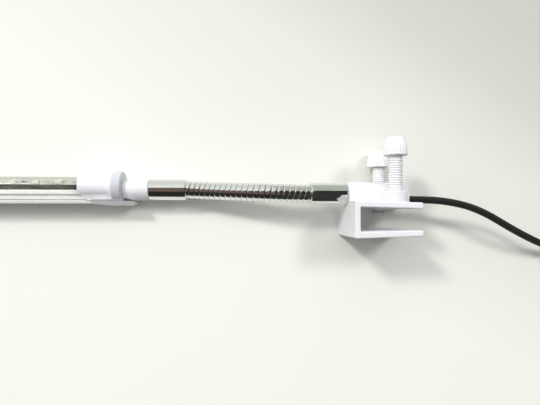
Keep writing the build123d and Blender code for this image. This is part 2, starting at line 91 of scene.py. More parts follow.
# ------------------------------------------------------------------ materials
class Mat:
    """A small wrapper for building node materials."""

    def __init__(self, name):
        self.mat = bpy.data.materials.new(name)
        self.mat.use_nodes = True
        self.nt = self.mat.node_tree
        self.nt.nodes.clear()
        self.out = self.nt.nodes.new("ShaderNodeOutputMaterial")
        self.bsdf = self.nt.nodes.new("ShaderNodeBsdfPrincipled")
        self.nt.links.new(self.bsdf.outputs["BSDF"], self.out.inputs["Surface"])
        self.coord = None

    def node(self, kind, **values):
        n = self.nt.nodes.new(kind)
        for k, v in values.items():
            setattr(n, k, v)
        return n

    def join(self, a, b):
        self.nt.links.new(a, b)

    def set(self, **values):
        for k, v in values.items():
            self.bsdf.inputs[k.replace("_", " ")].default_value = v

    def place(self, scale=(1000.0, 1000.0, 1000.0)):
        """Object coordinates in millimetres times scale."""
        if self.coord is None:
            self.coord = self.node("ShaderNodeTexCoord")
        m = self.node("ShaderNodeMapping")
        m.inputs["Scale"].default_value = scale
        self.join(self.coord.outputs["Object"], m.inputs["Vector"])
        return m.outputs["Vector"]

    def noise(self, scale=1.0, detail=3.0, rough=0.55, stretch=(1.0, 1.0, 1.0)):
        n = self.node("ShaderNodeTexNoise")
        n.inputs["Scale"].default_value = scale
        n.inputs["Detail"].default_value = detail
        n.inputs["Roughness"].default_value = rough
        self.join(self.place(tuple(1000.0 * s for s in stretch)), n.inputs["Vector"])
        return n.outputs["Fac"]

    def ramp(self, fac, stops, interpolation="LINEAR"):
        r = self.node("ShaderNodeValToRGB")
        r.color_ramp.interpolation = interpolation
        e = r.color_ramp.elements
        while len(e) < len(stops):
            e.new(0.5)
        for i, (p, c) in enumerate(stops):
            e[i].position = p
            e[i].color = (*c, 1.0) if hasattr(c, "__len__") else (c, c, c, 1.0)
        self.join(fac, r.inputs["Fac"])
        return r.outputs["Color"]

    def math(self, op, a, b=None, c=None, clamp=False):
        n = self.node("ShaderNodeMath", operation=op, use_clamp=clamp)
        for i, v in enumerate((a, b, c)):
            if v is None:
                continue
            if isinstance(v, (int, float)):
                n.inputs[i].default_value = v
            else:
                self.join(v, n.inputs[i])
        return n.outputs[0]

    def spread(self, fac, lo, hi):
        """fac, 0..1, as lo..hi."""
        m = self.node("ShaderNodeMapRange")
        m.inputs["To Min"].default_value = lo
        m.inputs["To Max"].default_value = hi
        self.join(fac, m.inputs["Value"])
        return m.outputs["Result"]

    def mix(self, fac, a, b, blend="MIX"):
        m = self.node("ShaderNodeMix", data_type="RGBA", blend_type=blend)
        for socket, v in ((m.inputs[0], fac), (m.inputs[6], a), (m.inputs[7], b)):
            if isinstance(v, (int, float)):
                socket.default_value = v
            elif hasattr(v, "__len__"):
                socket.default_value = (*v, 1.0)
            else:
                self.join(v, socket)
        return m.outputs[2]

    def bump(self, height, strength, distance_mm, after=None):
        b = self.node("ShaderNodeBump")
        b.inputs["Strength"].default_value = strength
        b.inputs["Distance"].default_value = distance_mm * 0.001
        self.join(height, b.inputs["Height"])
        if after is not None:
            self.join(after, b.inputs["Normal"])
        return b.outputs["Normal"]

    def finish(self, colour=None, roughness=None, normal=None):
        if colour is not None:
            self.join(colour, self.bsdf.inputs["Base Color"])
        if roughness is not None:
            self.join(roughness, self.bsdf.inputs["Roughness"])
        if normal is not None:
            self.join(normal, self.bsdf.inputs["Normal"])
        return self.mat


def plastic(name, light, dark, rough=(0.28, 0.4), grain=0.012, subsurface=0.0, speck=0.0):
    """Injection-moulded plastic: slow mottling, faint flow lines, fine orange peel."""
    m = Mat(name)
    slow = m.noise(0.16, 3.0, 0.6)
    flow = m.noise(0.5, 4.0, 0.65, (0.25, 1.0, 1.0))
    both = m.math("ADD", m.math("MULTIPLY", slow, 0.6), m.math("MULTIPLY", flow, 0.4))
    colour = m.ramp(both, [(0.3, dark), (0.7, light)])
    if speck:
        dust = m.noise(3.2, 2.0, 0.5)
        colour = m.mix(m.math("MULTIPLY", m.ramp(dust, [(0.7, 0.0), (0.78, 1.0)]), speck), colour, tuple(c * 0.8 for c in dark))
    roughness = m.spread(m.noise(0.7, 3.0, 0.6), *rough)
    fine = m.noise(5.5, 2.0, 0.5)
    swell = m.noise(0.35, 2.0, 0.5)
    normal = m.bump(fine, 0.5, grain)
    normal = m.bump(swell, 0.35, 0.06, normal)
    m.set(IOR=1.5)
    if subsurface:
        m.set(Subsurface_Weight=subsurface)
        m.bsdf.inputs["Subsurface Radius"].default_value = (1.0, 0.9, 0.8)
        m.bsdf.inputs["Subsurface Scale"].default_value = 0.0012
    return m.finish(colour, roughness, normal)


def metal(name, light, dark, rough=(0.05, 0.11), along=(1.0, 1.0, 1.0), scratch=0.15, wave=0.02):
    m = Mat(name)
    m.set(Metallic=1.0)
    slow = m.noise(0.3, 4.0, 0.6)
    colour = m.ramp(slow, [(0.3, dark), (0.7, light)])
    roughness = m.spread(m.noise(0.9, 5.0, 0.7), *rough)
    lines = m.noise(2.4, 5.0, 0.7, along)
    normal = m.bump(lines, scratch, 0.006)
    normal = m.bump(m.noise(0.45, 2.0, 0.5), 0.3, wave, normal)
    return m.finish(colour, roughness, normal)


white = plastic("white_plastic", (0.815, 0.815, 0.84), (0.775, 0.778, 0.805))
collar_mat = plastic("collar_plastic", (0.60, 0.612, 0.655), (0.555, 0.568, 0.62), rough=(0.38, 0.5))
screw_mat = plastic("screw_plastic", (0.85, 0.85, 0.85), (0.805, 0.81, 0.82), rough=(0.34, 0.46))
# painted shade: the screw pads get a darker grey-lavender that stands in for the shadow they sit in under the arm
foot_shade_mat = plastic("foot_painted_shade", (0.43, 0.44, 0.52), (0.36, 0.37, 0.45), rough=(0.4, 0.55))
chrome = metal("chrome", (0.86, 0.87, 0.86), (0.78, 0.79, 0.78), along=(0.12, 1.0, 1.0))
# painted shade: a dark metal for the narrow joints between the gooseneck's turns, standing in for the shade deep in
# those grooves
gooseneck_groove_shade_mat = metal("gooseneck_groove_painted_shade", (0.30, 0.298, 0.29), (0.17, 0.168, 0.16), rough=(0.3, 0.5), scratch=0.4)
steel = metal("link_steel", (0.62, 0.61, 0.60), (0.48, 0.475, 0.47), rough=(0.22, 0.38), scratch=0.4)
plug_steel = metal("plug_steel", (0.70, 0.69, 0.67), (0.58, 0.57, 0.55), rough=(0.18, 0.32), along=(0.15, 1.0, 1.0), scratch=0.4)
gold = metal("contact_gold", (0.83, 0.62, 0.26), (0.72, 0.52, 0.2), rough=(0.18, 0.3))

# clear acrylic: lamps reach through it, dimmed as the real bar dims them
m = Mat("clear_acrylic")
m.set(IOR=1.49, Transmission_Weight=1.0)
drawn = m.noise(1.1, 4.0, 0.6, (0.02, 1.0, 1.0))
rough = m.spread(m.noise(0.8, 4.0, 0.65, (0.2, 1.0, 1.0)), 0.01, 0.06)
# painted shade: the glass's tint darkens as the surface turns edge-on, drawing dark lines along the shell's silhouettes
rim = m.node("ShaderNodeLayerWeight")
rim.inputs["Blend"].default_value = 0.5
edge = m.ramp(rim.outputs["Facing"], [
    (0.0, (0.985, 0.99, 0.975)), (0.40, (0.97, 0.975, 0.955)), (0.50, (0.84, 0.84, 0.81)), (0.58, (0.56, 0.555, 0.52)), (0.68, (0.22, 0.215, 0.19)), (1.0, (0.08, 0.075, 0.065)),
])
m.finish(edge, rough, m.bump(drawn, 0.35, 0.02))
clear_shadow = m.node("ShaderNodeBsdfTransparent")
clear_shadow.inputs["Color"].default_value = (0.90, 0.905, 0.89, 1.0)
rays = m.node("ShaderNodeLightPath")
mixer = m.node("ShaderNodeMixShader")
m.join(rays.outputs["Is Shadow Ray"], mixer.inputs[0])
m.join(m.bsdf.outputs["BSDF"], mixer.inputs[1])
m.join(clear_shadow.outputs["BSDF"], mixer.inputs[2])
m.join(mixer.outputs["Shader"], m.out.inputs["Surface"])
acrylic = m.mat

# circuit board: olive-white mask with traces just under it
m = Mat("board")
xyz = m.node("ShaderNodeSeparateXYZ")
m.join(m.place(), xyz.inputs[0])
tracks = m.node("ShaderNodeTexBrick")
tracks.offset = 0.37
tracks.inputs["Scale"].default_value = 1.0
tracks.inputs["Brick Width"].default_value = 4.6
tracks.inputs["Row Height"].default_value = 0.62
tracks.inputs["Mortar Size"].default_value = 0.09
tracks.inputs["Mortar Smooth"].default_value = 0.25
tracks.inputs["Color1"].default_value = (0.45, 0.452, 0.395, 1)
tracks.inputs["Color2"].default_value = (0.37, 0.372, 0.32, 1)
tracks.inputs["Mortar"].default_value = (0.22, 0.23, 0.17, 1)
m.join(m.place(), tracks.inputs["Vector"])
mottled = m.mix(m.math("MULTIPLY", m.noise(0.5, 4.0, 0.6), 0.5), tracks.outputs["Color"], (0.56, 0.56, 0.51))
m.finish(mottled, m.spread(m.noise(1.4), 0.35, 0.55), m.bump(tracks.outputs["Fac"], 0.5, 0.03))
board = m.mat

rail_mat = plastic("rail_white", (0.70, 0.715, 0.69), (0.64, 0.655, 0.63), rough=(0.22, 0.34))
# painted shade: a darker grey for the faces in the rail's grooves
rail_groove_shade_mat = plastic("rail_groove", (0.66, 0.67, 0.65), (0.58, 0.59, 0.57), rough=(0.3, 0.45))
led_body = plastic("led", (0.60, 0.60, 0.565), (0.52, 0.52, 0.49), rough=(0.3, 0.45))
phosphor = plastic("led_phosphor", (0.57, 0.56, 0.46), (0.50, 0.49, 0.40), rough=(0.35, 0.5))
resistor = plastic("resistor", (0.22, 0.22, 0.20), (0.14, 0.14, 0.13), rough=(0.3, 0.45))
solder = metal("solder", (0.62, 0.62, 0.60), (0.48, 0.48, 0.46), rough=(0.25, 0.4))
m = Mat("spreader")
streaks = m.noise(0.62, 4.0, 0.65, (0.22, 1.0, 1.0))
patches = m.noise(0.9, 2.0, 0.5, (0.5, 1.6, 1.6))
m.finish(m.ramp(m.math("ADD", m.math("MULTIPLY", streaks, 0.7), m.math("MULTIPLY", patches, 0.3)), [
    (0.36, (0.012, 0.012, 0.010)), (0.48, (0.032, 0.033, 0.027)), (0.56, (0.075, 0.077, 0.066)), (0.66, (0.15, 0.152, 0.135)),
]), m.spread(m.noise(0.7), 0.42, 0.6), m.bump(streaks, 0.3, 0.03))
spreader = m.mat
seal = plastic("seal_rubber", (0.05, 0.05, 0.05), (0.03, 0.03, 0.03), rough=(0.6, 0.75))
red = plastic("wire_red", (0.62, 0.03, 0.02), (0.48, 0.02, 0.015), rough=(0.35, 0.5))
black_wire = plastic("wire_black", (0.03, 0.03, 0.03), (0.015, 0.015, 0.015), rough=(0.35, 0.5))
cord_mat = plastic("cord_black", (0.026, 0.026, 0.025), (0.014, 0.014, 0.0135), rough=(0.46, 0.6), grain=0.02)
for n in cord_mat.node_tree.nodes:
    if n.type == "BSDF_PRINCIPLED":
        n.inputs["Specular IOR Level"].default_value = 0.22
plug_mat = plastic("plug_black", (0.034, 0.034, 0.034), (0.018, 0.018, 0.018), rough=(0.42, 0.58), grain=0.03)
m = Mat("tie_fabric")
loops_ = m.noise(3.4, 5.0, 0.8)
weave = m.noise(1.6, 2.0, 0.5, (1.0, 1.0, 3.0))
m.set(Sheen_Weight=0.3, Sheen_Roughness=0.5, Specular_IOR_Level=0.2)
m.finish(m.ramp(loops_, [(0.3, (0.012, 0.012, 0.013)), (0.7, (0.045, 0.045, 0.047))]), m.spread(weave, 0.75, 0.95), m.bump(m.math("ADD", loops_, m.math("MULTIPLY", weave, 0.5)), 0.7, 0.12))
tie_mat = m.mat
tongue_mat = plastic("plug_tongue", (0.80, 0.80, 0.78), (0.70, 0.70, 0.68), rough=(0.4, 0.5))


# ------------------------------------------------------------------ cord
ROUTE = [
    (61.2, 5.52, 14.25),
    (77.0, 5.52, 14.25),
    (92.2, 5.02, 14.10),
    (108.0, 1.35, 13.45),
    (127.5, -9.45, 11.75),
    (145.0, -16.5, 8.2),
    (159.5, -18.5, 3.1),
    (172.6, -18.25, 1.62),
]
TAIL = [
    (189.5, -18.2, 8.0),
    (195.6, -18.0, 6.5),
    (201.0, -18.3, 4.1),
    (206.0, -18.3, 4.1),
]
COIL_X, COIL_Y = 181.0, 4.0
# the nine turns, as (radius, height) of each one's centre line, in the order wound
LAY = [(22.2, 1.6), (19.0, 1.6), (15.8, 1.6), (15.8, 4.8), (15.8, 8.0), (19.0, 8.0), (19.0, 4.8), (22.2, 4.8), (22.2, 8.0)]
PER_TURN = 16
coil = []
for t, (r, z) in enumerate(LAY):
    r2, z2 = LAY[min(t + 1, len(LAY) - 1)]
    for i in range(PER_TURN):
        f = i / PER_TURN
        k = max(0.0, (f - 0.72) / 0.28)          # each turn steps to the next place in its last quarter
        k = k * k * (3 - 2 * k)
        a = math.radians(-90.0) + 2 * math.pi * f
        breathe = 0.10 * math.sin(3.1 * t + 2.0 * math.pi * f * 2)
        rr = (r + (r2 - r) * k + breathe * (1 if 0.06 < f < 0.7 else 0)) / 0.981
        coil.append((COIL_X + rr * math.cos(a), COIL_Y + rr * math.sin(a), z + (z2 - z) * k))
coil.append((COIL_X, COIL_Y - 22.2 / 0.981, 8.0))
points = ROUTE + coil + TAIL

curve = bpy.data.curves.new("cord", "CURVE")
curve.dimensions = "3D"
spline = curve.splines.new("NURBS")
spline.points.add(len(points) - 1)
for p, q in zip(spline.points, points):
    p.co = (*row(*q), 1.0)
spline.order_u = 3
spline.use_endpoint_u = True
spline.resolution_u = 10
curve.resolution_u = 10
curve.bevel_depth = 0.0016
curve.bevel_resolution = 7
curve.use_fill_caps = True
cord = link(bpy.data.objects.new("cord", curve))
curve.materials.append(cord_mat)
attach(cord, "clamp")
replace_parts(cord, "cord_lead", "cord_tail", "cord_coil")


# ------------------------------------------------------------------ stage
def noise_floor():
    m = Mat("floor")
    slow = m.noise(0.004, 3.0, 0.5)
    fine = m.noise(0.9, 4.0, 0.6)
    both = m.math("ADD", m.math("MULTIPLY", slow, 0.8), m.math("MULTIPLY", fine, 0.2))
    m.set(Specular_IOR_Level=0.25)
    # painted shade: the floor's colour darkens towards its far right corner, standing in for the light falling off
    # there
    place = m.node("ShaderNodeVectorMath", operation="DOT_PRODUCT")
    m.join(m.coord.outputs["Object"], place.inputs[0])
    place.inputs[1].default_value = (0.6, 1.0, 0.0)
    painted_falloff = m.ramp(m.math("MULTIPLY_ADD", place.outputs["Value"], 3.03, 0.212), [
        (0.0, (1.0, 1.0, 0.99)), (0.36, (0.985, 0.985, 0.97)), (0.41, (0.955, 0.955, 0.94)), (0.56, (0.88, 0.88, 0.865)),
        (0.63, (0.85, 0.852, 0.835)), (0.76, (0.71, 0.715, 0.695)), (0.88, (0.645, 0.65, 0.63)), (1.0, (0.635, 0.64, 0.62)),
    ])
    tint = m.ramp(both, [(0.3, (0.845, 0.845, 0.795)), (0.7, (0.87, 0.87, 0.825))])
    return m.finish(m.mix(1.0, tint, painted_falloff, "MULTIPLY"), m.spread(slow, 0.55, 0.7), m.bump(fine, 0.2, 0.02))


bm = bmesh.new()
bmesh.ops.create_grid(bm, x_segments=8, y_segments=8, size=4.0)
floor_mesh = bpy.data.meshes.new("floor")
bm.to_mesh(floor_mesh)
bm.free()
floor = link(bpy.data.objects.new("floor", floor_mesh))
floor.location = (0.0, 0.0, -0.0001)
floor_mesh.materials.append(noise_floor())


def area(name, at, look, size, watts, colour=(1, 1, 1), glossy=True):
    light = bpy.data.lights.new(name, "AREA")
    light.shape = "RECTANGLE"
    light.size, light.size_y = size
    light.energy = watts
    light.color = colour
    obj = link(bpy.data.objects.new(name, light))
    obj.location = at
    obj.rotation_mode = "QUATERNION"
    obj.rotation_quaternion = (Vector(look) - Vector(at)).to_track_quat("-Z", "Y")
    obj.visible_glossy = glossy
    obj.visible_camera = False
    return obj


# two windows, one over each shoulder, so that most things cast two soft shadows
area("left_window", (-0.66, 0.68, 0.94), (0.0, 0.0, 0.0), (0.20, 0.20), 9.6, (1.0, 0.99, 0.975), glossy=False)
area("right_window", (0.76, 0.48, 0.98), (0.05, 0.0, 0.0), (0.26, 0.26), 5.4, (1.0, 1.0, 1.0), glossy=False)

world = bpy.data.worlds.new("studio")
scene.world = world
world.use_nodes = True
nt = world.node_tree
nt.nodes.clear()


def wnode(kind, **values):
    n = nt.nodes.new(kind)
    for k, v in values.items():
        setattr(n, k, v)
    return n


def wramp(fac, stops):
    ramp = wnode("ShaderNodeValToRGB")
    e = ramp.color_ramp.elements
    while len(e) < len(stops):
        e.new(0.5)
    for i, (deg, c) in enumerate(stops):
        e[i].position = (deg + 180) / 360
        e[i].color = (*c, 1)
    nt.links.new(fac, ramp.inputs["Fac"])
    return ramp.outputs["Color"]


# The room that the chrome mirrors: a pale wall behind the lamp, dark overhead.
out = wnode("ShaderNodeOutputWorld")
coord = wnode("ShaderNodeTexCoord")
split = wnode("ShaderNodeSeparateXYZ")
nt.links.new(coord.outputs["Generated"], split.inputs[0])
angle = wnode("ShaderNodeMath", operation="ARCTAN2")
nt.links.new(split.outputs["Y"], angle.inputs[0])
nt.links.new(split.outputs["Z"], angle.inputs[1])
turn = wnode("ShaderNodeMapRange")
turn.inputs["From Min"].default_value = -math.pi
turn.inputs["From Max"].default_value = math.pi
nt.links.new(angle.outputs[0], turn.inputs["Value"])
right = wramp(turn.outputs[0], [
    (-180, (0.55, 0.55, 0.51)),
    (-91, (0.55, 0.55, 0.51)),
    (-84, (0.030, 0.033, 0.030)),
    (-30, (0.038, 0.041, 0.038)),
    (22, (0.026, 0.028, 0.026)),
    (28, (0.018, 0.019, 0.017)),
    (31, (0.52, 0.55, 0.46)),
    (42, (0.48, 0.51, 0.44)),
    (90, (0.50, 0.54, 0.50)),
    (180, (0.55, 0.55, 0.51)),
])
left = wramp(turn.outputs[0], [
    (-180, (0.60, 0.60, 0.56)),
    (-91, (0.66, 0.67, 0.63)),
    (-85, (0.66, 0.67, 0.63)),
    (-82, (0.026, 0.026, 0.024)),
    (-27, (0.024, 0.024, 0.022)),
    (-20, (0.15, 0.105, 0.09)),
    (12, (0.17, 0.12, 0.10)),
    (18, (0.10, 0.075, 0.065)),
    (21, (1.15, 1.15, 1.12)),
    (34, (0.86, 0.88, 0.84)),
    (90, (0.74, 0.77, 0.72)),
    (180, (0.60, 0.60, 0.56)),
])
side = wnode("ShaderNodeMapRange", interpolation_type="SMOOTHSTEP")
side.inputs["From Min"].default_value = -0.08
side.inputs["From Max"].default_value = 0.14
nt.links.new(split.outputs["X"], side.inputs["Value"])
both = wnode("ShaderNodeMix", data_type="RGBA")
nt.links.new(side.outputs[0], both.inputs[0])
nt.links.new(left, both.inputs[6])
nt.links.new(right, both.inputs[7])
seen = wnode("ShaderNodeBackground")
nt.links.new(both.outputs[2], seen.inputs["Color"])
soft = wnode("ShaderNodeBackground")          # fill light, strongest from the lamp's upper left
facing = wnode("ShaderNodeVectorMath", operation="DOT_PRODUCT")
nt.links.new(coord.outputs["Generated"], facing.inputs[0])
facing.inputs[1].default_value = Vector((-0.40, 0.56, 0.72)).normalized()
fall = wnode("ShaderNodeMapRange", interpolation_type="SMOOTHSTEP")
fall.inputs["From Min"].default_value = 0.15
fall.inputs["From Max"].default_value = 1.0
fall.inputs["To Min"].default_value = 0.02
fall.inputs["To Max"].default_value = 1.2
nt.links.new(facing.outputs["Value"], fall.inputs["Value"])
nt.links.new(fall.outputs[0], soft.inputs["Strength"])
soft.inputs["Color"].default_value = (0.985, 0.985, 1.0, 1)
back = wnode("ShaderNodeBackground")          # plain backdrop above the floor's edge
back.inputs["Color"].default_value = (0.86, 0.86, 0.83, 1)
back.inputs["Strength"].default_value = 0.95
rays = wnode("ShaderNodeLightPath")
mix1 = wnode("ShaderNodeMixShader")
mix2 = wnode("ShaderNodeMixShader")
nt.links.new(rays.outputs["Is Glossy Ray"], mix1.inputs[0])
nt.links.new(soft.outputs[0], mix1.inputs[1])
nt.links.new(seen.outputs[0], mix1.inputs[2])
nt.links.new(rays.outputs["Is Camera Ray"], mix2.inputs[0])
nt.links.new(mix1.outputs[0], mix2.inputs[1])
nt.links.new(back.outputs[0], mix2.inputs[2])
nt.links.new(mix2.outputs[0], out.inputs["Surface"])


# ------------------------------------------------------------------ mesh tools
def make(name, verts, faces, material, body=None, smooth=True, extra=()):
    mesh = bpy.data.meshes.new(name)
    mesh.from_pydata([tuple(v) for v in verts], [], faces)
    mesh.validate()
    bm = bmesh.new()
    bm.from_mesh(mesh)
    bmesh.ops.recalc_face_normals(bm, faces=bm.faces)
    bm.to_mesh(mesh)
    bm.free()
    mesh.materials.append(material)
    for x in extra:
        mesh.materials.append(x)
    if smooth:
        mesh.shade_smooth()
    obj = link(bpy.data.objects.new(name, mesh))
    if body:
        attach(obj, body)
    return obj


def sharpen(obj, degrees=32.0):
    """Mark edges sharper than that, so that smooth shading stops at them."""
    mesh = obj.data
    bm = bmesh.new()
    bm.from_mesh(mesh)
    limit = math.radians(degrees)
    for edge in bm.edges:
        edge.smooth = len(edge.link_faces) == 2 and edge.calc_face_angle(0.0) < limit
    bm.to_mesh(mesh)
    bm.free()
    return obj


def lathe_x(profile, axis_y, axis_z, segments=128):
    """A closed profile of (x, r) spun round a line along X. Working millimetres in, frame metres out."""
    n = len(profile)
    verts, faces = [], []
    for x, r in profile:
        for s in range(segments):
            a = 2 * math.pi * s / segments
            verts.append(row(x, axis_y + r * math.cos(a), axis_z + r * math.sin(a)))
    for i in range(n):
        j = (i + 1) % n
        for s in range(segments):
            t = (s + 1) % segments
            faces.append((i * segments + s, i * segments + t, j * segments + t, j * segments + s))
    return verts, faces


def arc(cx, cr, radius, a0, a1, steps):
    """Points (x, r) on an arc, degrees from +x towards +r."""
    return [
        (cx + radius * math.cos(math.radians(a0 + (a1 - a0) * i / steps)), cr + radius * math.sin(math.radians(a0 + (a1 - a0) * i / steps)))
        for i in range(steps + 1)
    ]


# ------------------------------------------------------------------ ferrules
FER_R = 4.7


def ferrule(name, x0, x1, ay, az, body, free_end):
    """free_end, the side that the gooseneck comes out of, is not used: the rims at both ends are rolled in."""
    r, roll = FER_R, 0.45
    bore = 3.95
    outer = arc(x0 + roll, r - roll, roll, 180, 90, 8)
    outer += arc(x1 - roll, r - roll, roll, 90, 0, 8)
    lip = 0.35
    inner = [(x1, bore + lip), (x1 - lip, bore), (x0 + lip, bore), (x0, bore + lip)]
    verts, faces = lathe_x(outer + inner, ay, az, 160)
    return sharpen(make(name, verts, faces, chrome, body), 30)


f1 = ferrule("ferrule_clamp", 31.35, 47.1, 7.9, 14.25, "clamp", 0)
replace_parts(f1, "clamp_ferrule")
f2 = ferrule("ferrule_head", -37.9, -22.0, 9.75, 6.7, "neck", 1)
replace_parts(f2, "head_ferrule")


def neck_turned():
    """Turned neck with its hollow swivel stem; a slight waist beside the collar."""
    waist, full = 4.0, 4.7
    outer = [(-57.9, 1.95), (-57.85, 2.0), (-48.8, 2.0), (-48.8, waist - 0.1), (-48.72, waist)]
    for i in range(1, 15):
        f = i / 14
        outer.append((-48.1 + 3.9 * f, waist + (full - waist) * f * f * (3 - 2 * f)))
    outer += arc(-38.3, full - 0.4, 0.4, 90, 0, 8)
    inner = [(-37.9, 3.5), (-43.0, 3.5), (-43.0, 1.1), (-57.9, 1.1)]
    verts, faces = lathe_x(outer + inner, 9.75, 6.7, 160)
    return sharpen(make("neck_turned", verts, faces, white, "neck"), 30)


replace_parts(neck_turned(), "swivel_neck")


# ------------------------------------------------------------------ gooseneck skin
X_A, X_B = 31.35, -22.0
Y_A, Z_A, Y_B, Z_B = 7.9, 14.25, 9.75, 6.7
RINGS = 23
SEAM = 0.92                    # where the narrow joint between two turns begins
SKIN_R, TROUGH = 3.92, 0.16
SKIN_IN = 3.52


def centre(u):
    v = 1 - u
    h00 = 2 * v**3 - 3 * v**2 + 1
    h10 = v**3 - 2 * v**2 + v
    h01 = -2 * v**3 + 3 * v**2
    span = X_A - X_B
    if u < 0:
        return Vector((X_A - span * u, Y_A, Z_A))
    if u > 1:
        return Vector((X_A - span * u, Y_B - (u - 1) * span * 0.0, Z_B))
    return Vector((X_A - span * u, Y_B * h00 - span * 0.045 * h10 + Y_A * h01, Z_B * h00 + Z_A * h01 + 2.6 * v**3 * (1 - v) ** 2 / 0.03456))


def skin_point(u, a, inner=False):
    c = centre(u)
    d = (centre(u + 1e-3) - centre(u - 1e-3)).normalized()
    side = d.cross(Vector((0, 0, 1))).normalized()
    up = side.cross(d)
    if inner:
        r = SKIN_IN
    else:
        t = abs((u * RINGS - a / (2 * math.pi)) % 1.0 - 0.5) * 2      # wound, not stacked
        seam = min(1.0, max(0.0, (t - SEAM) / (1 - SEAM)))
        r = SKIN_R - TROUGH * t ** 3.4 - 0.14 * seam * seam
    return c + (side * math.cos(a) + up * math.sin(a)) * r


def skin_piece(k, n=10, around=80, rows=60):
    """The wound wire between the middles of two neighbouring links."""
    u0, u1 = (k - 1) / n, k / n
    us = [u0 + (u1 - u0) * i / rows for i in range(rows + 1)]
    tuck = 1.1 / (X_A - X_B)
    if k == 1:
        us = [-tuck + tuck * i / 8 for i in range(8)] + us
    if k == n:
        us = us + [1 + tuck * (i + 1) / 8 for i in range(8)]
    verts, normals, faces = [], [], []
    for u in us:
        for s in range(around):
            a = 2 * math.pi * s / around
            p = skin_point(u, a)
            du = skin_point(u + 2e-4, a) - skin_point(u - 2e-4, a)
            da = skin_point(u, a + 2e-3) - skin_point(u, a - 2e-3)
            nrm = du.cross(da).normalized()
            c = centre(u)
            if nrm.dot(p - c) < 0:
                nrm = -nrm
            verts.append(row(*p))
            normals.append(nrm)
    m = len(us)
    for i in range(m - 1):
        for s in range(around):
            t = (s + 1) % around
            faces.append((i * around + s, i * around + t, (i + 1) * around + t, (i + 1) * around + s))
    base = len(verts)
    coarse = [us[0], us[len(us) // 2], us[-1]]
    for u in coarse:
        for s in range(around):
            a = 2 * math.pi * s / around
            p = skin_point(u, a, True)
            verts.append(row(*p))
            normals.append((centre(u) - p).normalized())
    for i in range(2):
        for s in range(around):
            t = (s + 1) % around
            faces.append((base + i * around + s, base + (i + 1) * around + s, base + (i + 1) * around + t, base + i * around + t))
    for s in range(around):
        t = (s + 1) % around
        faces.append((s, base + s, base + t, t))
        o = (m - 1) * around
        q = base + 2 * around
        faces.append((o + s, o + t, q + t, q + s))
    obj = make(f"gooseneck_wire_{k:02d}", verts, faces, chrome, None, extra=(gooseneck_groove_shade_mat,))
    around_turn = 2 * math.pi
    for poly in obj.data.polygons[: (m - 1) * around]:
        i, q = divmod(min(poly.vertices), around)
        if len(poly.vertices) == 4 and i < m - 1:
            u = (us[i] + us[i + 1]) / 2
            a = around_turn * ((q + 0.5) / around if max(v % around for v in poly.vertices) - q < 2 else (around - 0.5) / around)
            # painted shade: faces in the narrow joint between two turns get the dark groove metal
            if abs((u * RINGS - a / around_turn) % 1.0 - 0.5) * 2 > SEAM + 0.02:
                poly.material_index = 1
    obj.data.normals_split_custom_set_from_vertices([tuple(v) for v in normals])
    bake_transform(obj)
    return obj


for k in range(1, 11):
    piece = skin_piece(k)
    if k < 10:
        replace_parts(piece, f"gooseneck_link_{k:02d}")


# ------------------------------------------------------------------ clear shell of the light bar
BAR_X0, BAR_X1, BAR_Y, BAR_Z = -248.0, -61.2, 10.95, 6.7


def bar_shell(steps=120):
    """A round shell with a slot along its underside, for the rail to enter."""
    R_OUT, R_IN, HALF = 4.05, 3.45, 1.44
    a_out, a_in = math.asin(HALF / R_OUT), math.asin(HALF / R_IN)
    xs = [BAR_X0, BAR_X0 + 0.12] + [BAR_X0 + (BAR_X1 - BAR_X0) * i / 12 for i in range(1, 12)] + [BAR_X1 - 0.12, BAR_X1]
    verts, faces = [], []
    ring = 2 * (steps + 1)
    for j, x in enumerate(xs):
        inset = 0.1 if j in (0, len(xs) - 1) else 0.0
        for R, a0, turn in ((R_OUT - inset, a_out, 1), (R_IN + inset, a_in, -1)):
            for i in range(steps + 1):
                f = i / steps if turn > 0 else 1 - i / steps
                a = a0 + (2 * math.pi - 2 * a0) * f
                verts.append(row(x, BAR_Y - R * math.cos(a), BAR_Z + R * math.sin(a)))
    for j in range(len(xs) - 1):
        for i in range(ring):
            k = (i + 1) % ring
            faces.append((j * ring + i, j * ring + k, (j + 1) * ring + k, (j + 1) * ring + i))
    for j in (0, len(xs) - 1):
        for i in range(steps):
            o = j * ring
            faces.append((o + i, o + i + 1, o + ring - 2 - i, o + ring - 1 - i))
    return sharpen(make("light_bar_shell", verts, faces, acrylic, "head"), 30)


shell = bar_shell()
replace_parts(shell, "light_bar")


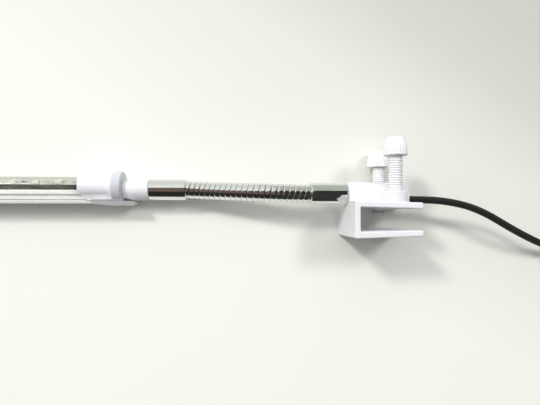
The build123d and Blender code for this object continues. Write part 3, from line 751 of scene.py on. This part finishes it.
# ------------------------------------------------------------------ rail under the shell
def rail():
    """White extrusion: grooved web up inside the shell, flat foot along its underside."""
    half = [
        (9.5, 1.15), (9.42, 1.33), (9.25, 1.4), (7.92, 1.4), (7.8, 1.3), (6.72, 0.28), (6.52, 0.3), (6.4, 1.26), (6.3, 1.4),
        (5.5, 1.4), (5.38, 1.3), (5.26, 0.8), (4.92, 0.74), (4.92, 3.5), (4.84, 3.78), (4.62, 3.9), (3.9, 3.9), (3.64, 3.8), (3.54, 3.5),
    ]
    ring = [(y, BAR_Z + z) for y, z in half] + [(y, BAR_Z - z) for y, z in reversed(half)]
    stations = [0.0, 0.0006, 0.25, 0.5, 0.75, 0.9, 1.0]
    verts, faces = [], []
    n = len(ring)
    for f in stations:
        for i, (y, z) in enumerate(ring):
            foot = y < 4.9 or abs(z - BAR_Z) > 2
            end = min(-60.55, -64.3 + (4.92 - y) / 0.72 * 3.8) if foot else BAR_X1
            verts.append(row(BAR_X0 + (end - BAR_X0) * f, y, z))
    for j in range(len(stations) - 1):
        for i in range(n):
            k = (i + 1) % n
            faces.append((j * n + i, j * n + k, (j + 1) * n + k, (j + 1) * n + i))
    faces.append(tuple(range(n)))
    faces.append(tuple((len(stations) - 1) * n + i for i in range(n)))
    obj = make("bar_rail_grooved", verts, faces, rail_mat, "head", extra=(rail_groove_shade_mat,))
    for poly in obj.data.polygons:                     # painted shade: both grooves get a darker grey that stands in for the shade in them
        heights = [ring[v % n][0] for v in poly.vertices]
        reach = [abs(ring[v % n][1] - BAR_Z) for v in poly.vertices]
        if len(poly.vertices) == 4 and (6.35 < min(heights) and max(heights) < 7.85 or 4.9 < min(heights) and max(heights) < 5.3 and max(reach) < 1):
            poly.material_index = 1
    return sharpen(obj, 28)


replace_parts(rail(), "bar_rail")


# ------------------------------------------------------------------ parts on the board
def round_rect(cx, cy, z, hx, hy, r, per=4):
    """Corner-rounded rectangle in the plane of the board, anticlockwise."""
    out = []
    for sx, sy, a0 in ((1, 1, 0), (-1, 1, 90), (-1, -1, 180), (1, -1, 270)):
        for i in range(per + 1):
            a = math.radians(a0 + 90 * i / per)
            out.append(row(cx + sx * (hx - r) + r * math.cos(a), cy + sy * (hy - r) + r * math.sin(a), z))
    return out


def stack(verts, faces, marks, loops, material=0):
    """Join loops of equal length into a closed skin."""
    base, n = len(verts), len(loops[0])
    for loop in loops:
        verts.extend(loop)
    for i in range(len(loops) - 1):
        for s in range(n):
            t = (s + 1) % n
            faces.append((base + i * n + s, base + i * n + t, base + (i + 1) * n + t, base + (i + 1) * n + s))
            marks.append(material)
    faces.append(tuple(base + s for s in range(n)))
    marks.append(material)
    top = base + (len(loops) - 1) * n
    faces.append(tuple(top + s for s in range(n)))
    marks.append(material)


def marked(name, verts, faces, marks, materials, body, degrees=35):
    mesh = bpy.data.meshes.new(name)
    mesh.from_pydata([tuple(v) for v in verts], [], faces)
    for m in materials:
        mesh.materials.append(m)
    mesh.polygons.foreach_set("material_index", marks)
    bm = bmesh.new()
    bm.from_mesh(mesh)
    bmesh.ops.recalc_face_normals(bm, faces=bm.faces)
    bm.to_mesh(mesh)
    bm.free()
    mesh.shade_smooth()
    obj = link(bpy.data.objects.new(name, mesh))
    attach(obj, body)
    return sharpen(obj, degrees)


BOARD_X0, BOARD_X1, N_LEDS = -240.5, -62.6, 19
led_pitch = (BOARD_X1 - BOARD_X0 - 8) / (N_LEDS - 1)
led_y, board_top = 12.9, 6.8
verts, faces, marks = [], [], []
for i in range(N_LEDS):
    cx = BOARD_X0 + 4 + i * led_pitch
    # frame with a dished window
    stack(verts, faces, marks, [
        round_rect(cx, led_y, board_top + 0.02, 1.36, 0.66, 0.10),
        round_rect(cx, led_y, board_top + 0.10, 1.40, 0.70, 0.12),
        round_rect(cx, led_y, board_top + 0.62, 1.40, 0.70, 0.12),
        round_rect(cx, led_y, board_top + 0.70, 1.34, 0.64, 0.10),
        round_rect(cx, led_y, board_top + 0.70, 1.12, 0.50, 0.22),
        round_rect(cx, led_y, board_top + 0.52, 1.02, 0.42, 0.20),
    ], 0)
    # phosphor, slightly domed
    stack(verts, faces, marks, [
        round_rect(cx, led_y, board_top + 0.50, 1.06, 0.46, 0.20),
        round_rect(cx, led_y, board_top + 0.60, 1.05, 0.45, 0.20),
        round_rect(cx, led_y, board_top + 0.635, 0.7, 0.28, 0.14),
        round_rect(cx, led_y, board_top + 0.645, 0.3, 0.10, 0.05),
    ], 1)
    # solder at both ends
    for sgn in (-1, 1):
        stack(verts, faces, marks, [
            round_rect(cx + sgn * 1.46, led_y, board_top + 0.005, 0.26, 0.50, 0.14),
            round_rect(cx + sgn * 1.44, led_y, board_top + 0.08, 0.22, 0.48, 0.14),
            round_rect(cx + sgn * 1.41, led_y, board_top + 0.20, 0.12, 0.44, 0.06),
        ], 2)
    # bare test and joint pads between two packages
    for off, half_x, half_y, dy in ((2.55, 0.22, 0.62, 0.0), (3.25, 0.18, 0.5, 0.1), (6.2, 0.2, 0.6, 0.0), (6.85, 0.34, 0.3, 0.22), (6.85, 0.34, 0.2, -0.4)):
        if i < N_LEDS - 1:
            stack(verts, faces, marks, [
                round_rect(cx + off, led_y + dy, board_top + 0.004, half_x, half_y, 0.08),
                round_rect(cx + off, led_y + dy, board_top + 0.05, half_x - 0.02, half_y - 0.02, 0.08),
                round_rect(cx + off, led_y + dy, board_top + 0.075, half_x - 0.09, half_y - 0.1, 0.05),
            ], 2)
leds = marked("led_packages", verts, faces, marks, (led_body, phosphor, solder), "head")
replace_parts(leds, "led_chips")

verts, faces, marks = [], [], []
for i in range(0, N_LEDS - 1, 3):
    cx = BOARD_X0 + 4 + (i + 0.5) * led_pitch
    stack(verts, faces, marks, [
        round_rect(cx, led_y, board_top + 0.04, 0.70, 0.52, 0.05),
        round_rect(cx, led_y, board_top + 0.42, 0.70, 0.52, 0.05),
        round_rect(cx, led_y, board_top + 0.46, 0.66, 0.48, 0.05),
    ], 0)
    for sgn in (-1, 1):
        stack(verts, faces, marks, [
            round_rect(cx + sgn * 0.84, led_y, board_top + 0.005, 0.16, 0.54, 0.05),
            round_rect(cx + sgn * 0.83, led_y, board_top + 0.44, 0.14, 0.53, 0.05),
            round_rect(cx + sgn * 0.83, led_y, board_top + 0.49, 0.12, 0.50, 0.05),
        ], 1)
chips = marked("chip_resistors", verts, faces, marks, (resistor, solder), "head")
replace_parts(chips, "led_resistors")


# painted shade: a grey strip laid in the joint between cap and base, standing in for the shade in that crevice
cap_joint_shade_mat = plastic("cap_joint_painted_shade", (0.30, 0.30, 0.295), (0.24, 0.24, 0.235), rough=(0.45, 0.6))
verts, faces, marks = [], [], []
for sgn in (-1, 1):
    stack(verts, faces, marks, [
        round_rect(-57.6, 5.06, BAR_Z + sgn * 1.6, 4.42, 0.39, 0.12),
        round_rect(-57.6, 5.06, BAR_Z + sgn * 1.93, 4.42, 0.39, 0.12),
        round_rect(-57.6, 5.06, BAR_Z + sgn * 1.99, 4.34, 0.30, 0.08),
    ])
marked("cap_joint_shade_strip", verts, faces, marks, (cap_joint_shade_mat,), "head")


# ------------------------------------------------------------------ thumbscrews
PITCH = 1.0
THREAD_R, ROOT_R = 3.0, 2.5


def to_y(x, z, y, r, a):
    return row(x + r * math.cos(a), y, z + r * math.sin(a))


def thread(name, x, z, y0, y1, body, turn0=0.0, around=56, per=12):
    """A real helical thread with a chamfered tip, closed at both ends."""
    rows = int(round((y1 - y0) / PITCH * per))
    verts, faces = [], []
    for i in range(rows + 1):
        y = y0 + (y1 - y0) * i / rows
        for s in range(around):
            a = 2 * math.pi * s / around
            t = abs(((y - y0) / PITCH - a / (2 * math.pi) + turn0) % 1.0 - 0.5) * 2     # 0 at the crest's middle, 1 in the root
            f = min(1.0, max(0.0, (t - 0.12) / 0.74))
            f = f * f * (3 - 2 * f) * 0.5 + f * 0.5
            r = THREAD_R + (ROOT_R - THREAD_R) * f
            r = min(r, 2.3 + (y - y0) * 0.9)
            verts.append(to_y(x, z, y, r, a))
    for i in range(rows):
        for s in range(around):
            t = (s + 1) % around
            faces.append((i * around + s, i * around + t, (i + 1) * around + t, (i + 1) * around + s))
    bore, deep = 1.05, 3.3
    hole = len(verts)
    for y in (y0, y0 + deep):
        for s in range(around):
            verts.append(to_y(x, z, y, bore, 2 * math.pi * s / around))
    tip = len(verts)
    verts.append(to_y(x, z, y0 + deep, 0, 0))
    top = len(verts)
    verts.append(to_y(x, z, y1, 0, 0))
    for s in range(around):
        t = (s + 1) % around
        faces.append((s, t, hole + t, hole + s))
        faces.append((hole + s, hole + t, hole + around + t, hole + around + s))
        faces.append((hole + around + s, hole + around + t, tip))
        faces.append((rows * around + s, rows * around + t, top))
    return sharpen(make(name, verts, faces, screw_mat, body), 50)


def knob(name, x, z, y0, height, body, ridges=26, turn0=0.0):
    """Fluted head: straight below, tapering above, with a broken top edge and a shallow dished top."""
    R, TOP_R, STRAIGHT = 4.95, 4.0, 3.1
    per = 8
    around = ridges * per

    def wide(h):
        return R if h <= STRAIGHT else R + (TOP_R - R) * (h - STRAIGHT) / (height - STRAIGHT)

    # (height above the underside, share of the flute depth, radius)
    rings = [(0.0, 0.0, R - 0.75), (0.0, 0.0, R - 0.30), (0.10, 0.0, R - 0.10), (0.30, 0.15, R), (0.55, 0.7, R), (0.9, 1.0, R)]
    rings += [(h, 1.0, wide(h)) for h in (1.4, 1.9, 2.4, 2.9, 3.25, 3.6, 4.1, 4.6, 5.1, 5.6, 6.0)]
    rings += [(6.35, 0.85, wide(6.35)), (6.65, 0.55, wide(6.65)), (6.9, 0.25, wide(6.9) - 0.02), (7.1, 0.0, wide(7.1) - 0.08)]
    rings += [(7.28, 0.0, 3.86), (7.37, 0.0, 3.7), (7.4, 0.0, 3.5), (7.4, 0.0, 3.1), (7.33, 0.0, 2.9), (7.2, 0.0, 2.7), (7.14, 0.0, 2.4), (7.14, 0.0, 1.2)]
    verts, faces = [], []
    for h, depth, radius in rings:
        for s in range(around):
            a = 2 * math.pi * s / around + turn0
            wave = abs(math.sin(ridges * a / 2))          # round lobes with narrow roots
            r = radius - 0.34 * depth * (1 - wave ** 0.75)
            verts.append(to_y(x, z, y0 + h, r, a))
    n = len(rings)
    for i in range(n - 1):
        for s in range(around):
            t = (s + 1) % around
            faces.append((i * around + s, i * around + t, (i + 1) * around + t, (i + 1) * around + s))
    top = len(verts)
    verts.append(to_y(x, z, y0 + 7.14, 0, 0))
    seat = len(verts)
    for y, r in ((y0, 3.05), (y0 + 4.6, 3.05), ):
        for s in range(around):
            verts.append(to_y(x, z, y, r, 2 * math.pi * s / around + turn0))
    deep = len(verts)
    verts.append(to_y(x, z, y0 + 4.6, 0, 0))
    for s in range(around):
        t = (s + 1) % around
        faces.append(((n - 1) * around + s, (n - 1) * around + t, top))
        faces.append((s, t, seat + t, seat + s))
        faces.append((seat + s, seat + t, seat + around + t, seat + around + s))
        faces.append((seat + around + s, seat + around + t, deep))
    return sharpen(make(name, verts, faces, screw_mat, body), 42)


for tag, sx, sz, ky, t0 in (("front", 65.6, 23.5, 23.4, 0.15), ("rear", 64.8, 5.0, 20.45, 0.6)):
    tip = ky - 21.0 + 1.3 + 0.08
    s = thread(f"thumbscrew_thread_{tag}", sx, sz, tip, ky + 4.5, f"{tag}_screw", t0)
    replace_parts(s, f"screw_{tag}")
    h = knob(f"thumbscrew_head_{tag}", sx, sz, ky, 7.4, f"{tag}_screw", turn0=t0)
    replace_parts(h, f"knob_{tag}")


# ------------------------------------------------------------------ plug grip and coil tie
PLUG_Y, PLUG_Z = -18.3, 4.1


def oval(x, half_y, half_z, power, bite=0.0, count=96):
    """Superellipse across the plug; bite draws its two long sides in."""
    out = []
    for i in range(count):
        a = 2 * math.pi * (i + 0.5) / count
        c, d = math.cos(a), math.sin(a)
        y = math.copysign(abs(c) ** (2 / power), c)
        z = math.copysign(abs(d) ** (2 / power), d)
        side = max(0.0, abs(y) - 0.55) / 0.45
        out.append(row(x, PLUG_Y + y * (half_y - bite * side ** 2), PLUG_Z + z * half_z))
    return out


def plug_grip():
    """Overmoulded grip: ringed strain relief, softened block, six finger ribs down each side."""
    loops = []
    # strain relief, rings and waists
    for i in range(6):
        x = 200.9 + i * 0.85
        r = 1.95 + i * 0.17
        loops += [oval(x, r - 0.22, r - 0.22, 2.0), oval(x + 0.14, r, r, 2.0), oval(x + 0.46, r + 0.03, r + 0.03, 2.0), oval(x + 0.60, r - 0.2, r - 0.2, 2.0)]
    loops += [oval(206.02, 3.0, 2.6, 2.0), oval(206.06, 5.0, 2.95, 2.8), oval(206.35, 6.1, 3.35, 3.6), oval(206.9, 6.95, 3.75, 4.6)]
    loops += [oval(207.7, 7.35, 3.98, 5.2), oval(208.8, 7.58, 4.08, 5.6), oval(210.2, 7.6, 4.1, 5.8), oval(211.2, 7.6, 4.1, 5.8)]
    for i in range(6):
        x = 211.6 + i * 1.6
        loops += [oval(x, 7.6, 4.1, 5.8), oval(x + 0.22, 7.6, 4.1, 5.8, 0.42), oval(x + 0.72, 7.6, 4.1, 5.8, 0.48), oval(x + 0.98, 7.6, 4.1, 5.8, 0.1), oval(x + 1.1, 7.6, 4.1, 5.8)]
    loops += [oval(223.0, 7.6, 4.1, 5.8), oval(225.4, 7.58, 4.08, 5.8), oval(226.4, 7.45, 3.98, 5.6), oval(226.85, 7.2, 3.8, 5.2), oval(227.0, 6.8, 3.5, 5.0)]
    n = len(loops[0])
    verts = [v for loop in loops for v in loop]
    faces = []
    for j in range(len(loops) - 1):
        for i in range(n):
            k = (i + 1) % n
            faces.append((j * n + i, j * n + k, (j + 1) * n + k, (j + 1) * n + i))
    faces.append(tuple(range(n)))
    faces.append(tuple((len(loops) - 1) * n + i for i in range(n)))
    return sharpen(make("plug_grip_moulded", verts, faces, plug_mat, "clamp"), 38)


plug = plug_grip()
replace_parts(plug, "plug_grip")


def coil_tie(at=math.radians(62.0), width=5.0, steps=72):
    """Hook-and-loop strap closed round the coil, one end lapped over the other."""
    cz, half_r, half_z, thick = 4.95, 4.95, 4.93, 0.34
    verts, faces = [], []
    rings = []
    across = [-1.0, -0.96, -0.5, 0.0, 0.5, 0.96, 1.0]
    for i in range(steps + 9):
        turn = 2 * math.pi * i / steps + math.radians(70)
        lap = thick * 1.02 * min(1.0, max(0.0, (i - steps + 6) / 6))
        c, d = math.cos(turn), math.sin(turn)
        base_r = math.copysign(abs(c) ** 0.5, c)
        base_z = math.copysign(abs(d) ** 0.5, d)
        ring = []
        for layer in (0, 1):
            grow = lap + thick * layer
            for w in across if layer == 0 else reversed(across):
                edge = 0.09 if abs(w) == 1.0 else 0.0
                g = grow + (edge if layer == 0 else -edge)
                rr = 19.0 + base_r * (half_r + g)
                zz = max(0.03 + (0.0 if layer else 0.02), cz + base_z * (half_z + g - 0.05))
                t = w * width / 2
                x = COIL_X + rr * math.cos(at) - t * math.sin(at)
                y = COIL_Y + rr * math.sin(at) + t * math.cos(at)
                ring.append(len(verts))
                verts.append(row(x, y, min(zz, 10.6)))
        rings.append(ring)
    n = len(rings[0])
    for a, b in zip(rings, rings[1:]):
        for i in range(n):
            k = (i + 1) % n
            faces.append((a[i], a[k], b[k], b[i]))
    faces.append(tuple(rings[0]))
    faces.append(tuple(rings[-1]))
    return sharpen(make("coil_tie", verts, faces, tie_mat, "clamp"), 50)


tie = coil_tie()


# ------------------------------------------------------------------ carried-over nodes
FINISH = {
    "clamp_frame": (white, "white_plastic"),
    "clamp_stub": (steel, "link_steel"),
    "head_stub": (steel, "link_steel"),
    "cord_crimp": (seal, "seal_rubber"),
    "cord_grommet": (seal, "seal_rubber"),
    # painted shade: the pads take the darker grey-lavender in place of their shade
    "foot_front": (foot_shade_mat, "screw_plastic"),
    "foot_rear": (foot_shade_mat, "screw_plastic"),
    "swivel_retainer": (steel, "link_steel"),
    "swivel_ring": (seal, "seal_rubber"),
    "head_collar": (collar_mat, "collar_plastic"),
    "cap_shell": (white, "white_plastic"),
    "head_base": (white, "white_plastic"),
    "far_cap": (white, "white_plastic"),
    "heat_spreader": (spreader, "spreader"),
    "led_board": (board, "board"),
    "lead_positive": (red, "wire_red"),
    "lead_negative": (black_wire, "wire_black"),
    "plug_shell": (plug_steel, "plug_steel"),
    "plug_tongue": (tongue_mat, "plug_tongue"),
    "plug_contacts": (gold, "contact_gold"),
}
for node, (material, slot) in FINISH.items():
    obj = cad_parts[node]
    obj.data.materials.clear()
    obj.data.materials.append(material)
